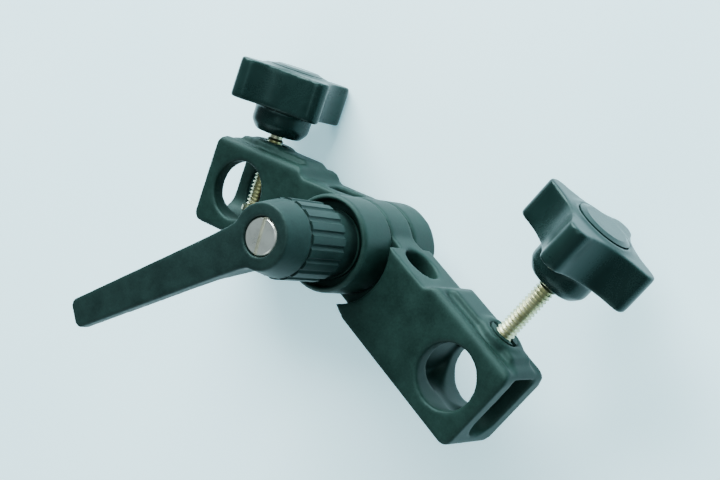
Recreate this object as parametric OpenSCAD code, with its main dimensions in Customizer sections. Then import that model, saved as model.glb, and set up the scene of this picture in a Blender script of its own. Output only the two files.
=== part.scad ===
// Double-ended swivel clamp bracket: two alike cast arms with their hinge discs
// stacked on one bolt, locked by a lift-and-turn lever. Each arm takes a 16 mm
// stud in a cross bore and clamps it with a star-knob screw.
// Origin: centre line of the right cross bore, on the underside of the right arm.
// X runs along the right arm to its open end, Y to the knob side, Z up the hinge.

/* [Arms] */
// Distance from hinge to cross bore
bore_l = 44.5; // [41:0.5:60]
// Distance from hinge to the open end
arm_l = 56.5; // [55.5:0.5:72]
// Width of an arm across its flat faces
body_w = 19.3; // [18:0.1:24]
// Height of an arm above the hinge line, knob side
top_t = 12.9; // [12:0.1:15]
// Depth of an arm below the hinge line
bot_t = 12.2; // [11.5:0.1:14.5]
// Depth of the heel beside the hinge
heel_t = 11; // [10:0.1:11.4]
// Height of the machined neck flat above the hinge line
neck_t = 10.2; // [9:0.1:11.4]
// Distance from hinge to the end of the neck flat
step_l = 25.2; // [24:0.1:29]
// Radius of the stud cross bore
bore_r = 8.1; // [6:0.05:8.6]
// Angle between the arms, away from straight
swing = 24.3; // [-60:0.1:60]

/* [Umbrella hole] */
// Distance from hinge to the shaft hole through the neck
shaft_l = 16.4; // [16.2:0.1:19]
// Radius of the shaft hole
shaft_r = 5; // [3:0.1:5.2]

/* [End pocket] */
// Width of the pocket in the open end
pocket_w = 10; // [8:0.5:11]
// Wall between the pocket and the knob-side face
pocket_top = 2; // [1.5:0.1:3]
// Wall between the pocket and the underside
pocket_bot = 3.9; // [3:0.1:3.9]
// Reach of the pocket past the bore's centre line, towards the hinge
pocket_in = 9; // [8.5:0.5:10]

/* [Pad and boss] */
// Height of the raised pad above the knob-side face
pad_h = 1.3; // [0.5:0.1:2]
// Width of the raised pad
pad_w = 9.5; // [8:0.5:11]
// Distance from hinge to the far end of the pad
pad_l = 53; // [51:0.1:54]
// Radius of the screw boss
boss_r = 6.2; // [5.5:0.1:7.5]
// Height of the screw boss above the pad
boss_h = 0.7; // [0.4:0.1:2]
// Rounding of the long knob-side edges
edge_r = 2.5; // [1:0.1:3]
// Rounding of the knob-side end corner
corner_top = 3; // [1:0.1:3.2]
// Rounding of the lower end corner
corner_bot = 2.5; // [1:0.1:7]

/* [Hinge] */
// Radius of the hinge discs
disc_r = 12.5; // [12:0.1:13.5]
// Depth of the recess above a disc
recess_top = 5.7; // [5:0.1:6.5]
// Depth of the recess below a disc
recess_bot = 3.5; // [2.5:0.1:4.5]
// Gap round a disc inside the other arm
disc_gap = 2.3; // [1.5:0.1:2.5]
// Thickness of the friction washer between the discs
friction_h = 0.4; // [0.3:0.1:1]
// Radius of the thrust flange over the upper disc
thrust_r = 12.3; // [10:0.1:13]
// Height of the thrust flange
thrust_h = 12; // [7:0.1:14]
// Chamfer round the thrust flange's upper rim
thrust_c = 0.7; // [0.3:0.1:0.8]
// Radius of the hollow in the thrust flange's top
cup_r = 10.9; // [10:0.1:11]
// Depth of the hollow in the thrust flange's top
cup_d = 3.5; // [2:0.1:6]
// Radius of the hinge bolt
bolt_r = 4; // [3:0.1:4.5]
// Height of the hinge bolt's hexagon head
bolt_head = 4; // [2.5:0.1:6]

/* [Clamp nut and lever] */
// Radius of the nut flange under the lever hub
flange_r = 8.3; // [7.8:0.1:9]
// Height of the nut flange
flange_h = 6.7; // [5:0.1:8]
// Tooth-tip radius of the serrated nut
tooth_r = 6.2; // [5.8:0.1:6.6]
// Number of serration teeth
teeth = 20; // [16:1:24]
// Radius of the grip ring round the hub
grip_r = 9.8; // [9.5:0.1:11]
// Height of the grip ring
grip_h = 13; // [11:0.5:15]
// Number of flutes round the grip ring
flutes = 18; // [12:1:24]
// Height of the tapered hub above the grip ring
cone_h = 8; // [7.5:0.5:11]
// Radius of the lever's flat top round the screw
face_r = 8; // [7:0.1:8.5]
// Reach of the lever from the hinge axis to its tip
lever_l = 62; // [45:1:80]
// Width of the lever at its tip
tip_w = 7.6; // [6:0.1:10]
// Thickness of the lever at its tip
tip_h = 3.4; // [2.5:0.1:5]
// Direction of the lever, seen from above
lever_a = 243; // [180:1:300]
// Lift that frees the lever from the teeth
lift = 5.3; // [5.2:0.1:5.6]

/* [Retaining screw] */
// Radius of the slotted head
head_r = 4.6; // [4:0.1:4.7]
// Height of the slotted head
head_h = 2; // [1.5:0.1:2.5]
// Radius of the retaining screw's shank
shank_r = 2; // [1.5:0.1:2.4]

/* [Knobs] */
// Radius of a knob over its lobes
knob_r = 16.9; // [14:0.1:20]
// Radius of one lobe's round end
lobe_r = 3.2; // [2.5:0.1:6.5]
// Radius of the hollow side between two lobes
hollow_r = 16; // [6:0.5:20]
// Height of the lobed head
lobe_h = 11.2; // [8:0.1:14]
// Radius of the hub under the lobes
hub_r = 8.1; // [6.4:0.1:9]
// Height of the hub under the lobes
hub_h = 6.8; // [4:0.1:12]
// Radius of the cap in the knob's top
cap_r = 7.3; // [5.5:0.1:8]
// Turn of the right knob about its screw
right_turn = 7; // [0:1:89]
// Turn of the left knob about its screw
left_turn = 25; // [0:1:89]

/* [Clamp screws] */
// Outside radius of the screw thread
thread_r = 2.41; // [2:0.01:3]
// Thread pitch
pitch = 1.058; // [0.8:0.001:1.3]
// Length of screw below the knob
screw_l = 21.4; // [21.3:0.1:23]
// Radius of the threaded insert
insert_r = 3.9; // [3.5:0.1:4.5]
// Radius of the pressure tip
tip_r = 3.2; // [2.8:0.1:3.8]
// Thickness of the pressure tip
pad_tip = 1.8; // [1.2:0.1:2.2]
// Height of the right pressure tip's end above the hinge line
right_end = 8.8; // [8.4:0.1:8.8]
// Height of the left pressure tip's end above the hinge line
left_end = -6; // [-6:0.1:8.8]

/* [Hidden] */
$fn = 72;

run_fit = 0.05;                              // radial clearance of a turning or sliding fit
seat = 0.02;                                 // radial clearance of a fixed fit
eps = 0.5;                                   // overshoot of a cutter
black = [0.10, 0.15, 0.15];
plastic = [0.07, 0.09, 0.09];
zinc = [0.78, 0.75, 0.62];
nickel = [0.82, 0.82, 0.80];
steel = [0.62, 0.63, 0.64];

mid_z = body_w / 2;
disc_h = body_w - recess_top - recess_bot;
drop = disc_h + friction_h;                  // the left arm sits this far below the right
disc_top = recess_bot + disc_h;              // upper face of the right disc
swing_r = disc_r + disc_gap;                 // clearance cylinder of the hinge

washer_h = 1;
nut_z = disc_top + thrust_h - cup_d + washer_h;                 // underside of the clamp nut
grip_z = nut_z + flange_h + 0.5;             // underside of the grip ring and hub
cone_z = grip_z + grip_h;
face_z = cone_z + cone_h;                    // the lever's flat top
tooth_d = 0.55;                              // depth of a serration
tooth_z = grip_z + 1;                        // where the teeth start
tooth_h = lift - 0.2;                        // length of the teeth
nut_top = tooth_z + tooth_h + 2.2;
shoulder_z = nut_top + 0.4;                  // underside of the lever's inner shoulder
shoulder_h = 1.8;
chamber_r = head_r + 0.2;
head_z = face_z - 0.3 - head_h;              // underside of the slotted head
spring_r = 3.6;
spring_wire = 0.25;
spring_turns = 4;
bolt_end = nut_top - 6;                      // free end of the hinge bolt

pocket_t0 = -bot_t + pocket_bot;
pocket_t1 = top_t - pocket_top;
insert_bot = pocket_t1 - 0.1;                // lower end of the insert
insert_top = top_t + pad_h + boss_h;
thread_n = floor((screw_l - 1) / pitch);
right_out = right_end + pad_tip + screw_l;   // underside of the right knob's hub
left_out = left_end + pad_tip + screw_l;     // underside of the left knob's hub

// ---- placing ----

module at_hinge() translate([-bore_l, 0, 0]) children();

// An arm drawn along +X from the hinge, put in the left arm's place
module on_left() at_hinge() translate([0, 0, -drop]) rotate([0, 0, swing]) mirror([1, 0, 0]) children();

// Puts a screw part drawn along +Z from the knob hub's underside on an arm
module on_screw(out, turn) translate([bore_l, out, mid_z]) rotate([-90, 0, 0]) rotate([0, 0, turn]) children();

// ---- shared shapes ----

// What a rounded corner takes away; the corner is at the origin, solid on -X -Y
module corner_cut(r) difference() {
    translate([-r, -r]) square([r + eps, r + eps]);
    translate([-r, -r]) circle(r);
}

module ring(r_out, r_in, h) difference() {
    cylinder(r = r_out, h = h);
    translate([0, 0, -eps]) cylinder(r = r_in, h = h + 2 * eps);
}

// Side outline of a block, X along the arm and Y up to the knob side
module block_outline() difference() {
    polygon([[0, -heel_t], [disc_r * 0.74, -heel_t], [disc_r * 0.95, 0.6 - bot_t], [disc_r * 1.12, -bot_t],
        [arm_l, -bot_t], [arm_l, top_t], [step_l + 2.2, top_t], [step_l, neck_t], [0, neck_t]]);
    translate([arm_l, top_t]) corner_cut(corner_top);
    translate([arm_l, -bot_t]) mirror([0, 1]) corner_cut(corner_bot);
}

// Cutter along X that rounds the long knob-side edge at the upper face
module long_edge_cut() translate([step_l + 0.3, top_t, body_w]) rotate([90, 0, 90])
    linear_extrude(arm_l) corner_cut(edge_r);

// Raised pad along the middle of the knob-side face, sloped towards the neck
module pad() translate([0, 0, mid_z - pad_w / 2]) linear_extrude(pad_w)
    polygon([[step_l + 1.5, neck_t], [step_l + 2.2, top_t - 0.2], [step_l + 4.4, top_t + pad_h],
        [pad_l - 1, top_t + pad_h], [pad_l, top_t - 0.2], [pad_l, neck_t]]);

// Solid arm without its holes, from the hinge line to the open end
module block() {
    difference() {
        linear_extrude(body_w) block_outline();
        long_edge_cut();
        translate([0, 0, body_w]) mirror([0, 0, 1]) long_edge_cut();
        for (s = [-1, 1]) translate([step_l + 3.5, top_t + 2.7, mid_z + s * (pad_w / 2 + 1.2)])
            rotate([0, 90, 0]) cylinder(r = 3.3, h = arm_l);
    }
    pad();
    translate([bore_l, 0, mid_z]) rotate([-90, 0, 0]) {
        cylinder(r = boss_r, h = insert_top - 0.6);
        translate([0, 0, insert_top - 0.6]) cylinder(r1 = boss_r, r2 = boss_r - 0.6, h = 0.6);
    }
}

// Holes every arm has
module arm_holes() {
    translate([bore_l, 0, -eps]) cylinder(r = bore_r, h = body_w + 2 * eps);
    translate([shaft_l, bot_t + 20, mid_z]) rotate([90, 0, 0]) cylinder(r = shaft_r, h = 60);
    translate([bore_l, insert_bot - eps, mid_z]) rotate([-90, 0, 0])
        cylinder(r = insert_r + seat, h = insert_top - insert_bot + 2 * eps);
    translate([bore_l - pocket_in, 0, mid_z]) rotate([90, 0, 90]) linear_extrude(arm_l) {
        translate([pocket_t0 + pocket_w / 2, -pocket_w / 2])
            square([pocket_t1 - pocket_t0 - pocket_w / 2, pocket_w]);
        translate([pocket_t0 + pocket_w / 2, 0]) circle(pocket_w / 2);
    }
}

// ---- arms ----

// One casting: a disc at the hinge end with a round recess above and below it
module arm() color(black) difference() {
    union() {
        difference() {
            block();
            translate([0, 0, disc_top]) cylinder(r = swing_r, h = body_w);
            translate([0, 0, -eps]) cylinder(r = swing_r, h = recess_bot + eps);
        }
        translate([0, 0, recess_bot]) cylinder(r = disc_r, h = disc_h);
    }
    arm_holes();
    translate([0, 0, -eps]) cylinder(r = bolt_r + run_fit, h = body_w);
}

module right_arm() at_hinge() arm();
module left_arm() on_left() arm();

// ---- clamp screws and knobs ----

// Threaded bush with two spanner slots, flush with the boss
module insert() difference() {
    cylinder(r = insert_r, h = insert_top - insert_bot);
    translate([0, 0, -eps]) cylinder(r = thread_r + run_fit, h = insert_top - insert_bot + 2 * eps);
    translate([-insert_r - eps, -0.9, insert_top - insert_bot - 1.4])
        cube([2 * insert_r + 2 * eps, 1.8, 1.4 + eps]);
}

module place_insert() translate([bore_l, insert_bot, mid_z]) rotate([-90, 0, 0]) insert();

module right_insert() color(zinc) at_hinge() place_insert();
module left_insert() color(zinc) on_left() place_insert();

// Threaded rod below the knob, and the plain root inside its hub
module screw_rod() {
    root_r = thread_r - 0.6 * pitch;
    rotate_extrude() polygon(concat([[0, 8], [0, -screw_l], [root_r, -screw_l]],
        [for (i = [0 : thread_n - 1], k = [0, 1])
            [k == 0 ? root_r : thread_r, -screw_l + 0.2 + (i + k * 0.5) * pitch]],
        [[root_r, -screw_l + 0.2 + thread_n * pitch], [root_r, 8]]));
}

module right_screw() color(zinc) at_hinge() on_screw(right_out, right_turn) screw_rod();
module left_screw() color(zinc) on_left() on_screw(left_out, left_turn) screw_rod();

// Pressure tip under the rod's end, cupped over it
module tip_pad() translate([0, 0, -screw_l - pad_tip]) {
    cylinder(r1 = tip_r - 0.5, r2 = tip_r, h = 0.5);
    translate([0, 0, 0.5]) cylinder(r = tip_r, h = pad_tip - 0.5);
}

module right_tip() color(zinc) at_hinge() on_screw(right_out, 0) tip_pad();
module left_tip() color(zinc) on_left() on_screw(left_out, 0) tip_pad();

// Four lobes with hollow sides between them
module star() {
    lobe_c = knob_r - lobe_r;
    hollow_c = lobe_c * cos(45) + sqrt(pow(lobe_r + hollow_r, 2) - pow(lobe_c * sin(45), 2));
    difference() {
        union() {
            for (i = [0 : 3]) rotate(90 * i) translate([lobe_c, 0]) circle(lobe_r);
            polygon([for (i = [0 : 7]) let (r = i % 2 == 0 ? lobe_c : hollow_c)
                [r * cos(45 * i), r * sin(45 * i)]]);
        }
        for (i = [0 : 3]) rotate(45 + 90 * i) translate([hollow_c, 0]) circle(hollow_r);
    }
}

module knob_body() difference() {
    union() {
        cylinder(r1 = hub_r - 1.8, r2 = hub_r, h = 2.4);
        translate([0, 0, 2.4]) cylinder(r = hub_r, h = hub_h);
        translate([0, 0, hub_h]) linear_extrude(lobe_h) star();
        translate([0, 0, hub_h + lobe_h]) cylinder(r1 = cap_r + 2, r2 = cap_r + 1, h = 0.6);
    }
    translate([0, 0, hub_h + lobe_h - 0.8]) cylinder(r = cap_r + seat, h = 3);
    translate([0, 0, -eps]) cylinder(r = thread_r - 0.6 * pitch + seat, h = 8 + seat + eps);
}

module right_knob() color(plastic) at_hinge() on_screw(right_out, right_turn) knob_body();
module left_knob() color(plastic) on_left() on_screw(left_out, left_turn) knob_body();

// Push-in cap, slightly domed
module cap() translate([0, 0, hub_h + lobe_h - 0.8 + seat]) {
    cylinder(r = cap_r, h = 1.4);
    translate([0, 0, 1.4]) cylinder(r1 = cap_r, r2 = cap_r - 1.5, h = 0.5);
}

module right_cap() color(plastic) at_hinge() on_screw(right_out, right_turn) cap();
module left_cap() color(plastic) on_left() on_screw(left_out, left_turn) cap();

// ---- hinge stack ----

module hinge_bolt() color(steel) at_hinge() {
    head_top = recess_bot - drop - washer_h;
    translate([0, 0, head_top - bolt_head]) cylinder(r = 7.5, h = bolt_head, $fn = 6);
    translate([0, 0, head_top]) cylinder(r = bolt_r, h = bolt_end - head_top - 0.8);
    translate([0, 0, bolt_end - 0.8]) cylinder(r1 = bolt_r, r2 = bolt_r - 0.8, h = 0.8);
}

// Washer of outside radius r standing on height z
module stack_ring(r, z, h) at_hinge() translate([0, 0, z]) ring(r, bolt_r + run_fit, h);

module bolt_washer() color(steel) stack_ring(8.4, recess_bot - drop - washer_h, washer_h);
module friction_washer() color(plastic) stack_ring(disc_r - 0.6, recess_bot - friction_h, friction_h);
module thrust_washer() color(steel) stack_ring(flange_r + 0.5, disc_top + thrust_h - cup_d, washer_h);

module thrust_flange() color(black) at_hinge() translate([0, 0, disc_top]) difference() {
    union() {
        cylinder(r = thrust_r, h = thrust_h - thrust_c);
        translate([0, 0, thrust_h - thrust_c]) cylinder(r1 = thrust_r, r2 = thrust_r - thrust_c, h = thrust_c);
    }
    translate([0, 0, -eps]) cylinder(r = bolt_r + run_fit, h = thrust_h + 2 * eps);
    translate([0, 0, thrust_h - cup_d]) cylinder(r = cup_r, h = cup_d + eps);
}

// Serration outline, shared by the nut and the hub's socket
module serration(grow) polygon([for (i = [0 : 2 * teeth - 1])
    let (r = (i % 2 == 0 ? tooth_r : tooth_r - tooth_d) + grow)
    [r * cos(180 * i / teeth), r * sin(180 * i / teeth)]]);

module clamp_nut() color(steel) at_hinge() difference() {
    union() {
        translate([0, 0, nut_z]) cylinder(r = flange_r, h = flange_h);
        translate([0, 0, nut_z]) cylinder(r = tooth_r - tooth_d - 0.3, h = nut_top - nut_z);
        translate([0, 0, tooth_z]) linear_extrude(tooth_h) serration(0);
    }
    translate([0, 0, nut_z - eps]) cylinder(r = bolt_r + run_fit, h = bolt_end - nut_z + 0.5 + eps);
    translate([0, 0, nut_top - 5]) cylinder(r = shank_r + seat, h = 6);
}

// ---- lever ----

// Fluted ring pressed round the lever's hub
module grip_ring() color(black) at_hinge() rotate([0, 0, lever_a]) difference() {
    translate([0, 0, grip_z]) cylinder(r = grip_r, h = grip_h);
    translate([0, 0, grip_z - eps]) cylinder(r = flange_r - 0.3 + seat, h = grip_h + 2 * eps);
    for (i = [0 : flutes - 1]) rotate([0, 0, 360 / flutes * (i + 0.5)])
        translate([grip_r + 0.35, 0, grip_z - eps]) cylinder(r = 0.85, h = grip_h + 2 * eps, $fn = 24);
}

// Flat handle: wide at the hub, narrow at the tip, thicker towards the hub
module handle() {
    intersection() {
        translate([0, 0, face_z - cone_h]) linear_extrude(cone_h)
            for (s = [0, 1]) mirror([0, s])
                polygon([[0, 0], [0, face_r - 0.5], [4, 6], [8, 5.4], [16, 5], [lever_l - 1.2, tip_w / 2],
                    [lever_l, tip_w / 2 - 1.2], [lever_l, 0]]);
        rotate([90, 0, 0]) translate([0, 0, -20]) linear_extrude(40)
            polygon([[0, cone_z], [8, cone_z], [18, face_z - tip_h - 0.8], [lever_l + 1, face_z - tip_h],
                [lever_l + 1, face_z], [0, face_z]]);
    }
}

module lever() color(black) at_hinge() rotate([0, 0, lever_a]) difference() {
    union() {
        translate([0, 0, grip_z]) cylinder(r = flange_r - 0.3, h = grip_h);
        translate([0, 0, cone_z]) cylinder(r1 = grip_r - 0.2, r2 = face_r, h = cone_h);
        handle();
    }
    translate([0, 0, grip_z - eps]) cylinder(r = tooth_r + 0.25, h = tooth_z - grip_z + eps);
    translate([0, 0, tooth_z - eps]) rotate([0, 0, -lever_a]) linear_extrude(tooth_h + eps) serration(0.12);
    translate([0, 0, tooth_z + tooth_h]) cylinder(r = tooth_r + 0.25, h = shoulder_z - tooth_z - tooth_h);
    translate([0, 0, shoulder_z - eps]) cylinder(r = shank_r + run_fit, h = 10);
    translate([0, 0, shoulder_z + shoulder_h]) cylinder(r = chamber_r, h = face_z);
}

function coil_point(a, z0, z1, r) = [r * cos(a), r * sin(a), z0 + (z1 - z0) * a / (360 * spring_turns)];

// Return spring between the hub's shoulder and the screw head
module lever_spring() color(steel) at_hinge() {
    steps = 24 * spring_turns;
    sides = 8;
    z0 = shoulder_z + shoulder_h + spring_wire + 0.05;
    z1 = head_z - spring_wire - 0.05;
    points = [for (i = [0 : steps], k = [0 : sides - 1])
        let (a = 15 * i, c = coil_point(a, z0, z1, 0), w = 360 * k / sides)
        [(spring_r + spring_wire * cos(w)) * cos(a), (spring_r + spring_wire * cos(w)) * sin(a),
            c[2] + spring_wire * sin(w)]];
    faces = concat([[for (k = [0 : sides - 1]) k]],
        [for (i = [0 : steps - 1], k = [0 : sides - 1])
            let (k2 = (k + 1) % sides, a = i * sides, b = (i + 1) * sides) [a + k, b + k, b + k2, a + k2]],
        [[for (k = [sides - 1 : -1 : 0]) steps * sides + k]]);
    polyhedron(points, faces, convexity = 10);
}

// Slotted screw that holds the lever down on the nut
module lever_screw() color(nickel) at_hinge() difference() {
    union() {
        translate([0, 0, nut_top - 4.8]) cylinder(r = shank_r, h = head_z - nut_top + 4.8 + 0.1);
        translate([0, 0, head_z]) cylinder(r = head_r, h = head_h - 0.4);
        translate([0, 0, head_z + head_h - 0.4]) cylinder(r1 = head_r, r2 = head_r - 0.4, h = 0.4);
    }
    rotate([0, 0, 117]) translate([-head_r - eps, -0.5, head_z + head_h - 1.1])
        cube([2 * head_r + 2 * eps, 1, 1.1 + eps]);
}

right_arm();
left_arm();
right_insert();
left_insert();
right_screw();
left_screw();
right_tip();
left_tip();
right_knob();
left_knob();
right_cap();
left_cap();
hinge_bolt();
bolt_washer();
friction_washer();
thrust_flange();
thrust_washer();
clamp_nut();
grip_ring();
lever();
lever_spring();
lever_screw();
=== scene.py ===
import bpy
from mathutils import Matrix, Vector


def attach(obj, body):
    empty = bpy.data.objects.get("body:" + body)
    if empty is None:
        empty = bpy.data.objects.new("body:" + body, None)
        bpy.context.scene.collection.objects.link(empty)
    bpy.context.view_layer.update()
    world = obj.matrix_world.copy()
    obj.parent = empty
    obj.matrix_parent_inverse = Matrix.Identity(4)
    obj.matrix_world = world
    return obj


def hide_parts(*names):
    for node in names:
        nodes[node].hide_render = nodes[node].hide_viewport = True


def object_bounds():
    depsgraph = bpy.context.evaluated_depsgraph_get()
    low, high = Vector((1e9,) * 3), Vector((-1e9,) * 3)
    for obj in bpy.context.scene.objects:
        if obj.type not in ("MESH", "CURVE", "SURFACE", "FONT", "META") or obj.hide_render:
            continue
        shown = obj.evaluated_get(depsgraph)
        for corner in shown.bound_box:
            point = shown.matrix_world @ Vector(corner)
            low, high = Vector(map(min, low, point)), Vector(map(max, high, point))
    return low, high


# Double-ended swivel bracket: two cast arms on a stacked-disc hinge, a clamping
# lever, and a star-knob screw in each arm. Metres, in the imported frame.
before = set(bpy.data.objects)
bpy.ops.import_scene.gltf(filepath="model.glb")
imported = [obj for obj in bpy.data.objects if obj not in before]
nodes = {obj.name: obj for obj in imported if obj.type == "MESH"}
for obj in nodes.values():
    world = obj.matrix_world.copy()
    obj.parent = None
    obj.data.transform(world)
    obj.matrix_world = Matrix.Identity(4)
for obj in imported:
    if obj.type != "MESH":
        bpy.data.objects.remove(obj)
cad_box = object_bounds()
bpy.ops.object.select_all(action="DESELECT")

# ---- camera, table and light ----
# The bracket stands over a level, pale blue-white table, so it is in the clear
# from all round. The camera stands over the right arm's upper face.
bpy.ops.object.camera_add(location=(0.10861, 0.12809, 0.30524),
                          rotation=(0.07088, 0.59074, 0.81537))
camera = bpy.context.object
camera.data.lens = 70
camera.data.sensor_width = 36
camera.data.clip_start = 0.01
bpy.context.scene.camera = camera

bpy.ops.mesh.primitive_grid_add(x_subdivisions=4, y_subdivisions=4, size=6,
                                location=(0, 0, cad_box[0].z))
table = bpy.context.object
table.name = "table"
bpy.ops.object.transform_apply()


class Val:
    """A shader socket with arithmetic, and any other node made from it."""

    def __init__(self, tree, out):
        self.tree, self.out = tree, out

    def node(self, kind, inputs=(), output=0, stops=(), **settings):
        n = self.tree.nodes.new(kind)
        for key, value in settings.items():
            setattr(n, key, value)
        for i, (at, colour) in enumerate(stops):
            n.color_ramp.elements[i].position = at
            n.color_ramp.elements[i].color = (*colour, 1)
        for key, value in dict(inputs).items():
            if isinstance(value, Val):
                self.tree.links.new(value.out, n.inputs[key])
            else:
                n.inputs[key].default_value = value
        return Val(self.tree, n.outputs[output])

    def __add__(self, other):
        return self.node("ShaderNodeMath", {0: self, 1: other}, operation="ADD")

    def __mul__(self, other):
        return self.node("ShaderNodeMath", {0: self, 1: other}, operation="MULTIPLY")

    __radd__, __rmul__ = __add__, __mul__

    def ramp(self, *stops):
        return self.node("ShaderNodeValToRGB", {0: self}, stops=stops)

    def to(self, socket):
        self.tree.links.new(self.out, socket)


def finish(name):
    """A new material, its shader, and the place on the piece as a value."""
    mat = bpy.data.materials.new(name)
    mat.use_nodes = True
    tree = mat.node_tree
    place = Val(tree, None).node("ShaderNodeTexCoord", output="Object")
    return mat, tree.nodes["Principled BSDF"], place


mat, bsdf, place = finish("table_white")
cloud = place.node("ShaderNodeTexNoise", {"Vector": place, "Scale": 9.0, "Detail": 2.0})
cloud.ramp((0.3, (0.74, 0.93, 0.98)), (0.7, (0.82, 0.97, 1.00))).to(bsdf.inputs["Base Color"])
bsdf.inputs["Roughness"].default_value = 0.8
bsdf.inputs["Emission Color"].default_value = (0.35, 0.85, 1.0, 1)
bsdf.inputs["Emission Strength"].default_value = 0.50
table.data.materials.append(mat)

view = camera.rotation_euler.to_matrix()
centre = Vector((-0.04, 0, 0.015))
lamp_distance = 0.9
for name, way, size, power in (("key", (0.70, 0.75, 0.20), 0.35, 30.0),
                               ("overhead", (-0.15, 1.0, 0.20), 0.90, 52.0),
                               ("front", (-0.2, 0.3, 1.0), 0.6, 4.0),
                               ("rear fill", (-0.6, -0.9, 0.3), 0.9, 5.0)):
    side = (view @ Vector(way)).normalized()
    bpy.ops.object.light_add(type="AREA", location=centre + side * lamp_distance,
                             rotation=side.to_track_quat("Z", "Y").to_euler())
    light = bpy.context.object
    light.name = name
    light.data.size = size
    light.data.energy = power
    light.data.color = (0.80, 0.97, 1.0)
world = bpy.data.worlds.new("sky")
world.use_nodes = True
world.node_tree.nodes["Background"].inputs["Color"].default_value = (0.72, 0.90, 1.0, 1)
world.node_tree.nodes["Background"].inputs["Strength"].default_value = 0.42
bpy.context.scene.world = world


# ---- cast arms ----
# Two zinc castings, each a deep block with a cross bore and a long bore, a
# neck and a hinge disc. A finely pebbled black coat, a little rubbed, rounds
# over every cast edge, which a fine remesh of the casting then smooths.
def softened(node, piece, body, material, voxel, passes):
    """A copy of a CAD part with its sharp edges rounded over, in its place."""
    bpy.ops.object.select_all(action="DESELECT")
    part = bpy.data.objects.new(piece, nodes[node].data.copy())
    bpy.context.collection.objects.link(part)
    bpy.context.view_layer.objects.active = part
    part.select_set(True)
    bpy.ops.object.mode_set(mode="EDIT")
    bpy.ops.mesh.select_all(action="SELECT")
    bpy.ops.mesh.remove_doubles(threshold=1e-6)
    bpy.ops.object.mode_set(mode="OBJECT")
    even = part.modifiers.new("even", "REMESH")
    even.mode, even.voxel_size, even.use_smooth_shade = "VOXEL", voxel, True
    soft = part.modifiers.new("soft", "SMOOTH")
    soft.factor, soft.iterations = 0.5, passes
    for modifier in ("even", "soft"):
        bpy.ops.object.modifier_apply(modifier=modifier)
    part.select_set(False)
    part.data.materials.clear()
    part.data.materials.append(material)
    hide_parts(node)
    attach(part, body)


mat, bsdf, place = finish("cast_paint")
pebble = place.node("ShaderNodeTexNoise", {"Vector": place, "Scale": 2200.0, "Detail": 3.0,
                                           "Roughness": 0.6})
speck = place.node("ShaderNodeTexVoronoi", {"Vector": place, "Scale": 1500.0})
rub = place.node("ShaderNodeTexNoise", {"Vector": place, "Scale": 110.0, "Detail": 5.0,
                                        "Roughness": 0.7})
(rub * 0.7 + pebble * 0.3).ramp((0.35, (0.002, 0.008, 0.006)),
                                (0.7, (0.010, 0.026, 0.021))).to(bsdf.inputs["Base Color"])
(rub * 0.20 + pebble * 0.12 + 0.36).to(bsdf.inputs["Roughness"])
bsdf.inputs["Specular IOR Level"].default_value = 0.20
bsdf.inputs["Specular Tint"].default_value = (0.62, 1.0, 0.94, 1)
place.node("ShaderNodeBump", {"Height": pebble * 0.6 + speck * 0.4, "Strength": 0.4,
                              "Distance": 0.00005}).to(bsdf.inputs["Normal"])
cast_paint = mat
softened("right_arm", "right_casting", "base", cast_paint, 0.0005, 12)
softened("left_arm", "left_casting", "left", cast_paint, 0.0005, 12)


# ---- thrust flange and its dark washer ----
# A turned dish on top of the hinge stack, in the arms' coat. The nut's skirt
# sits in its hollow on a washer in the same dark coat, which is painted shade
# for the dark ring in the gap.
def coat(material, *names):
    """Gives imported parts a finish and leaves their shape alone."""
    for name in names:
        nodes[name].data.materials.clear()
        nodes[name].data.materials.append(material)


softened("thrust_flange", "thrust_dish", "base", cast_paint, 0.0004, 6)
# The washer's dark coat is painted shade: it stands for the shade in the gap round it.
coat(cast_paint, "thrust_washer")

# ---- clamping lever, its nut and its grip ring ----
# Die-cast handle with a smoother satin coat than the arms, a fluted grip ring
# round its foot, and the blackened toothed nut that the handle drops over.
mat = cast_paint.copy()
mat.name = "lever_paint"
mat.node_tree.nodes["Principled BSDF"].inputs["Specular IOR Level"].default_value = 0.18
for n in mat.node_tree.nodes:
    if n.type == "BUMP":
        n.inputs["Strength"].default_value = 0.22
    if n.type == "VALTORGB":
        n.color_ramp.elements[0].color = (0.003, 0.008, 0.007, 1)
        n.color_ramp.elements[1].color = (0.012, 0.026, 0.023, 1)
softened("lever", "lever_casting", "handle", mat, 0.0004, 10)
coat(mat, "grip_ring", "clamp_nut")

# ---- thread inserts ----
# Short round inserts pressed into the arms at the screws, under the same coat
# as the castings, so that only their rims show.
coat(cast_paint, "right_insert", "left_insert")

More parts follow.
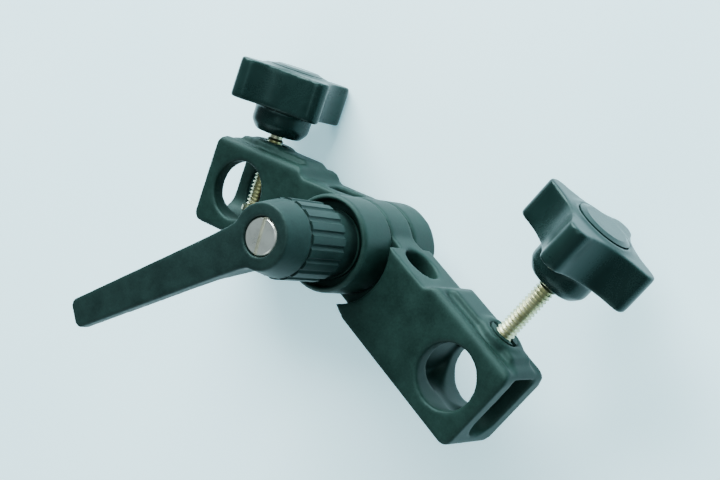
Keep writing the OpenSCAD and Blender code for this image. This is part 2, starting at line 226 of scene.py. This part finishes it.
# ---- star knobs, their caps, and the friction washer ----
# Moulded black plastic, smooth and slightly glossy with faint flow marks. The
# knobs have four generously rounded tips; a round cap closes each hub.
mat, bsdf, place = finish("knob_plastic")
flow = place.node("ShaderNodeTexNoise", {"Vector": place, "Scale": 70.0, "Detail": 4.0,
                                         "Distortion": 1.0})
grain = place.node("ShaderNodeTexNoise", {"Vector": place, "Scale": 3500.0, "Detail": 2.0})
flow.ramp((0.3, (0.002, 0.007, 0.006)), (0.7, (0.007, 0.017, 0.015))).to(bsdf.inputs["Base Color"])
(flow * 0.16 + grain * 0.06 + 0.16).to(bsdf.inputs["Roughness"])
bsdf.inputs["Specular IOR Level"].default_value = 0.20
bsdf.inputs["Specular Tint"].default_value = (0.60, 1.0, 0.95, 1)
place.node("ShaderNodeBump", {"Height": grain * 0.5 + flow, "Strength": 0.12,
                              "Distance": 0.00004}).to(bsdf.inputs["Normal"])
softened("right_knob", "right_star_knob", "right_grip", mat, 0.0004, 24)
softened("left_knob", "left_star_knob", "left_grip", mat, 0.0004, 24)
coat(mat, "right_cap", "left_cap", "friction_washer")

# ---- metal fittings ----
# Yellow-passivated screws and tips, a nickel slotted screw, and plain steel
# for the bolt, washer and spring: fine turned grain and a little tarnish.
for name, dark, light, rough, names in (
        ("zinc", (0.36, 0.35, 0.22), (0.52, 0.51, 0.34), 0.20,
         ("right_screw", "left_screw", "right_tip", "left_tip")),
        ("nickel", (0.60, 0.58, 0.50), (0.80, 0.79, 0.70), 0.18, ("lever_screw",)),
        ("steel", (0.30, 0.31, 0.32), (0.55, 0.56, 0.57), 0.28,
         ("hinge_bolt", "bolt_washer", "lever_spring"))):
    mat, bsdf, place = finish(name)
    tarnish = place.node("ShaderNodeTexNoise", {"Vector": place, "Scale": 260.0, "Detail": 4.0,
                                                "Roughness": 0.6})
    grain = place.node("ShaderNodeTexNoise", {"Vector": place, "Scale": 3000.0, "Detail": 2.0})
    tarnish.ramp((0.25, dark), (0.55, light)).to(bsdf.inputs["Base Color"])
    (tarnish * 0.16 + grain * 0.08 + rough).to(bsdf.inputs["Roughness"])
    bsdf.inputs["Metallic"].default_value = 1.0
    place.node("ShaderNodeBump", {"Height": grain, "Strength": 0.12,
                                  "Distance": 0.00003}).to(bsdf.inputs["Normal"])
    coat(mat, *names)
